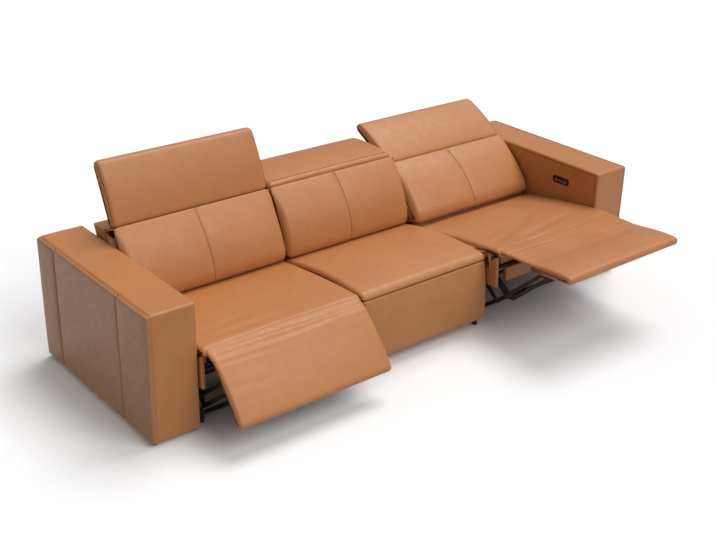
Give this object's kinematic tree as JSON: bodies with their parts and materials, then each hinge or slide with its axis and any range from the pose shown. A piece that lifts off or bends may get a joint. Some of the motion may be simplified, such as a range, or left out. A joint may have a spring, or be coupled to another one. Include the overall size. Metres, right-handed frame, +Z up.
{
  "type": "reclining sofa",
  "caption": "Tan leather reclining sofa with wide padded arms, powered recliner seats on both sides, fold-out footrests and folding headrests",
  "frame": {"origin": "on the floor, under the middle of the bounding box with both footrests as in the kept pose", "axes": "+X along the sofa to the sitter's left, which is the viewer's right; +Z up; the sofa faces -Y"},
  "size_m": [3.06, 1.6291, 1.0162],
  "materials": {
    "tan_leather": "smooth semi-aniline cowhide over foam, tan",
    "frame_board": "plywood boards of the inner frames",
    "black_steel": "black powder-coated flat steel and tube",
    "screw_steel": "bare drawn steel",
    "motor_plastic": "fine-grained moulded housing",
    "control_black": "black moulded panel",
    "control_keys": "grey moulded keys",
    "glide_plastic": "moulded floor glides"
  },
  "bodies": {
    "sofa_base": {"left_base_rails": "black_steel", "right_base_rails": "black_steel", "left_arm_cover": "tan_leather", "right_arm_cover": "tan_leather", "left_arm_frame": "frame_board", "right_arm_frame": "frame_board", "left_arm_outer_pad": "tan_leather", "right_arm_outer_pad": "tan_leather", "glides": "glide_plastic", "control_panels": "control_black", "middle_seat_frame": "frame_board", "middle_seat_cushion": "tan_leather", "middle_front_panel": "tan_leather", "middle_back_frame": "frame_board", "middle_back_cushion": "tan_leather", "recline_motors": "motor_plastic", "power_inlet": "control_black"},
    "middle_headrest": {"middle_headrest_cushion": "tan_leather", "middle_headrest_frame": "black_steel"},
    "left_seat": {"left_seat_box": "frame_board", "left_seat_cushion": "tan_leather", "left_seat_carriage": "black_steel", "left_footrest_motor": "motor_plastic", "left_footrest_flap": "tan_leather"},
    "left_back": {"left_back_frame": "frame_board", "left_back_cushion": "tan_leather"},
    "left_headrest": {"left_headrest_cushion": "tan_leather", "left_headrest_frame": "black_steel"},
    "left_footrest": {"left_footrest_pad": "tan_leather", "left_footrest_frame": "black_steel"},
    "left_lower_link": {"left_lower_link": "black_steel"},
    "left_cranked_link": {"left_cranked_link": "black_steel"},
    "left_long_bars": {"left_long_bar": "black_steel"},
    "left_short_bars": {"left_short_bar": "black_steel"},
    "left_recline_rod": {"left_recline_rod": "screw_steel"},
    "left_footrest_rod": {"left_footrest_rod": "screw_steel"},
    "left_footrest_key": {"left_footrest_key": "control_keys"},
    "left_recline_key": {"left_recline_key": "control_keys"},
    "left_headrest_key": {"left_headrest_key": "control_keys"},
    "right_seat": {"right_seat_box": "frame_board", "right_seat_cushion": "tan_leather", "right_seat_carriage": "black_steel", "right_footrest_motor": "motor_plastic", "right_footrest_flap": "tan_leather"},
    "right_back": {"right_back_frame": "frame_board", "right_back_cushion": "tan_leather"},
    "right_headrest": {"right_headrest_cushion": "tan_leather", "right_headrest_frame": "black_steel"},
    "right_footrest": {"right_footrest_pad": "tan_leather", "right_footrest_frame": "black_steel"},
    "right_lower_link": {"right_lower_link": "black_steel"},
    "right_cranked_link": {"right_cranked_link": "black_steel"},
    "right_long_bars": {"right_long_bar": "black_steel"},
    "right_short_bars": {"right_short_bar": "black_steel"},
    "right_recline_rod": {"right_recline_rod": "screw_steel"},
    "right_footrest_rod": {"right_footrest_rod": "screw_steel"},
    "right_footrest_key": {"right_footrest_key": "control_keys"},
    "right_recline_key": {"right_recline_key": "control_keys"},
    "right_headrest_key": {"right_headrest_key": "control_keys"}
  },
  "joints": [
    {"name": "middle_headrest_fold", "type": "hinge", "parent": "sofa_base", "child": "middle_headrest", "pos_m": [0, 0.49432, 0.728], "axis": [1, 0, 0], "range_deg": [0, 64]},
    {"name": "left_recline", "type": "hinge", "parent": "sofa_base", "child": "left_seat", "pos_m": [-0.8475, 0.32132, 1.99], "axis": [-1, 0, 0], "range_deg": [0, 3.4]},
    {"name": "left_back_recline", "type": "hinge", "parent": "left_seat", "child": "left_back", "pos_m": [-0.8475, 0.37332, 0.281], "axis": [-1, 0, 0], "range_deg": [0, 15.4]},
    {"name": "left_headrest_raise", "type": "hinge", "parent": "left_back", "child": "left_headrest", "pos_m": [-0.8475, 0.49432, 0.728], "axis": [1, 0, 0], "range_deg": [-64, 0]},
    {"name": "left_footrest_open", "type": "hinge", "parent": "left_seat", "child": "left_footrest", "pos_m": [-0.8475, -0.36068, 0.481], "axis": [-1, 0, 0], "range_deg": [-40, 51], "deforming": ["left_footrest_flap"]},
    {"name": "left_lower_link_swing", "type": "hinge", "parent": "left_seat", "child": "left_lower_link", "pos_m": [-0.8475, -0.06424, 0.24095], "axis": [-1, 0, 0], "range_deg": [-40, 51]},
    {"name": "left_cranked_link_swing", "type": "hinge", "parent": "left_seat", "child": "left_cranked_link", "pos_m": [-0.8475, -0.11864, 0.285], "axis": [-1, 0, 0], "range_deg": [-40, 51]},
    {"name": "left_long_bar_turn", "type": "hinge", "parent": "left_lower_link", "child": "left_long_bars", "pos_m": [-0.8475, -0.05464, 0.05014], "axis": [-1, 0, 0], "range_deg": [-51, 40]},
    {"name": "left_short_bar_turn", "type": "hinge", "parent": "left_cranked_link", "child": "left_short_bars", "pos_m": [-0.8475, -0.14118, 0.05589], "axis": [-1, 0, 0], "range_deg": [-51, 40]},
    {"name": "left_footrest_screw", "type": "slide", "parent": "left_seat", "child": "left_footrest_rod", "axis": [0, -1, 0], "range_m": [-0.03863, 0.04925]},
    {"name": "left_recline_screw", "type": "slide", "parent": "sofa_base", "child": "left_recline_rod", "axis": [0, -1, 0], "range_m": [0, 0.10675]},
    {"name": "left_footrest_key_press", "type": "slide", "parent": "sofa_base", "child": "left_footrest_key", "axis": [-1, 0, 0], "range_m": [0, 0.0012], "stiffness_N_per_m": 400},
    {"name": "left_recline_key_press", "type": "slide", "parent": "sofa_base", "child": "left_recline_key", "axis": [-1, 0, 0], "range_m": [0, 0.0012], "stiffness_N_per_m": 400},
    {"name": "left_headrest_key_press", "type": "slide", "parent": "sofa_base", "child": "left_headrest_key", "axis": [-1, 0, 0], "range_m": [0, 0.0012], "stiffness_N_per_m": 400},
    {"name": "right_recline", "type": "hinge", "parent": "sofa_base", "child": "right_seat", "pos_m": [0.8475, 0.32132, 1.99], "axis": [-1, 0, 0], "range_deg": [-3.4, 0]},
    {"name": "right_back_recline", "type": "hinge", "parent": "right_seat", "child": "right_back", "pos_m": [0.8475, 0.27187, 0.28092], "axis": [-1, 0, 0], "range_deg": [-15.4, 0]},
    {"name": "right_headrest_raise", "type": "hinge", "parent": "right_back", "child": "right_headrest", "pos_m": [0.8475, 0.53047, 0.66508], "axis": [1, 0, 0], "range_deg": [-47, 17]},
    {"name": "right_footrest_open", "type": "hinge", "parent": "right_seat", "child": "right_footrest", "pos_m": [0.8475, -0.44897, 0.5241], "axis": [-1, 0, 0], "range_deg": [-91, 0], "deforming": ["right_footrest_flap"]},
    {"name": "right_lower_link_swing", "type": "hinge", "parent": "right_seat", "child": "right_lower_link", "pos_m": [0.8475, -0.16729, 0.26689], "axis": [-1, 0, 0], "range_deg": [-91, 0]},
    {"name": "right_cranked_link_swing", "type": "hinge", "parent": "right_seat", "child": "right_cranked_link", "pos_m": [0.8475, -0.21898, 0.31409], "axis": [-1, 0, 0], "range_deg": [-91, 0]},
    {"name": "right_long_bar_turn", "type": "hinge", "parent": "right_lower_link", "child": "right_long_bars", "pos_m": [0.8475, -0.31685, 0.14802], "axis": [-1, 0, 0], "range_deg": [0, 91]},
    {"name": "right_short_bar_turn", "type": "hinge", "parent": "right_cranked_link", "child": "right_short_bars", "pos_m": [0.8475, -0.4184, 0.19905], "axis": [-1, 0, 0], "range_deg": [0, 91]},
    {"name": "right_footrest_screw", "type": "slide", "parent": "right_seat", "child": "right_footrest_rod", "axis": [0, -0.9982, 0.0593], "range_m": [-0.08788, 0]},
    {"name": "right_recline_screw", "type": "slide", "parent": "sofa_base", "child": "right_recline_rod", "axis": [0, -1, 0], "range_m": [-0.10675, 0]},
    {"name": "right_footrest_key_press", "type": "slide", "parent": "sofa_base", "child": "right_footrest_key", "axis": [1, 0, 0], "range_m": [0, 0.0012], "stiffness_N_per_m": 400},
    {"name": "right_recline_key_press", "type": "slide", "parent": "sofa_base", "child": "right_recline_key", "axis": [1, 0, 0], "range_m": [0, 0.0012], "stiffness_N_per_m": 400},
    {"name": "right_headrest_key_press", "type": "slide", "parent": "sofa_base", "child": "right_headrest_key", "axis": [1, 0, 0], "range_m": [0, 0.0012], "stiffness_N_per_m": 400}
  ],
  "couplings": [
    {"joint": "left_back_recline", "follows": "left_recline", "ratio": 4.5294},
    {"joint": "left_lower_link_swing", "follows": "left_footrest_open", "ratio": 1},
    {"joint": "left_cranked_link_swing", "follows": "left_footrest_open", "ratio": 1},
    {"joint": "left_long_bar_turn", "follows": "left_footrest_open", "ratio": -1},
    {"joint": "left_short_bar_turn", "follows": "left_footrest_open", "ratio": -1},
    {"joint": "left_footrest_screw", "follows": "left_footrest_open", "m_per_rad": 0.055332},
    {"joint": "left_recline_screw", "follows": "left_recline", "m_per_rad": 1.7989},
    {"joint": "right_back_recline", "follows": "right_recline", "ratio": 4.5294},
    {"joint": "right_lower_link_swing", "follows": "right_footrest_open", "ratio": 1},
    {"joint": "right_cranked_link_swing", "follows": "right_footrest_open", "ratio": 1},
    {"joint": "right_long_bar_turn", "follows": "right_footrest_open", "ratio": -1},
    {"joint": "right_short_bar_turn", "follows": "right_footrest_open", "ratio": -1},
    {"joint": "right_footrest_screw", "follows": "right_footrest_open", "m_per_rad": 0.055332},
    {"joint": "right_recline_screw", "follows": "right_recline", "m_per_rad": 1.7989}
  ]
}
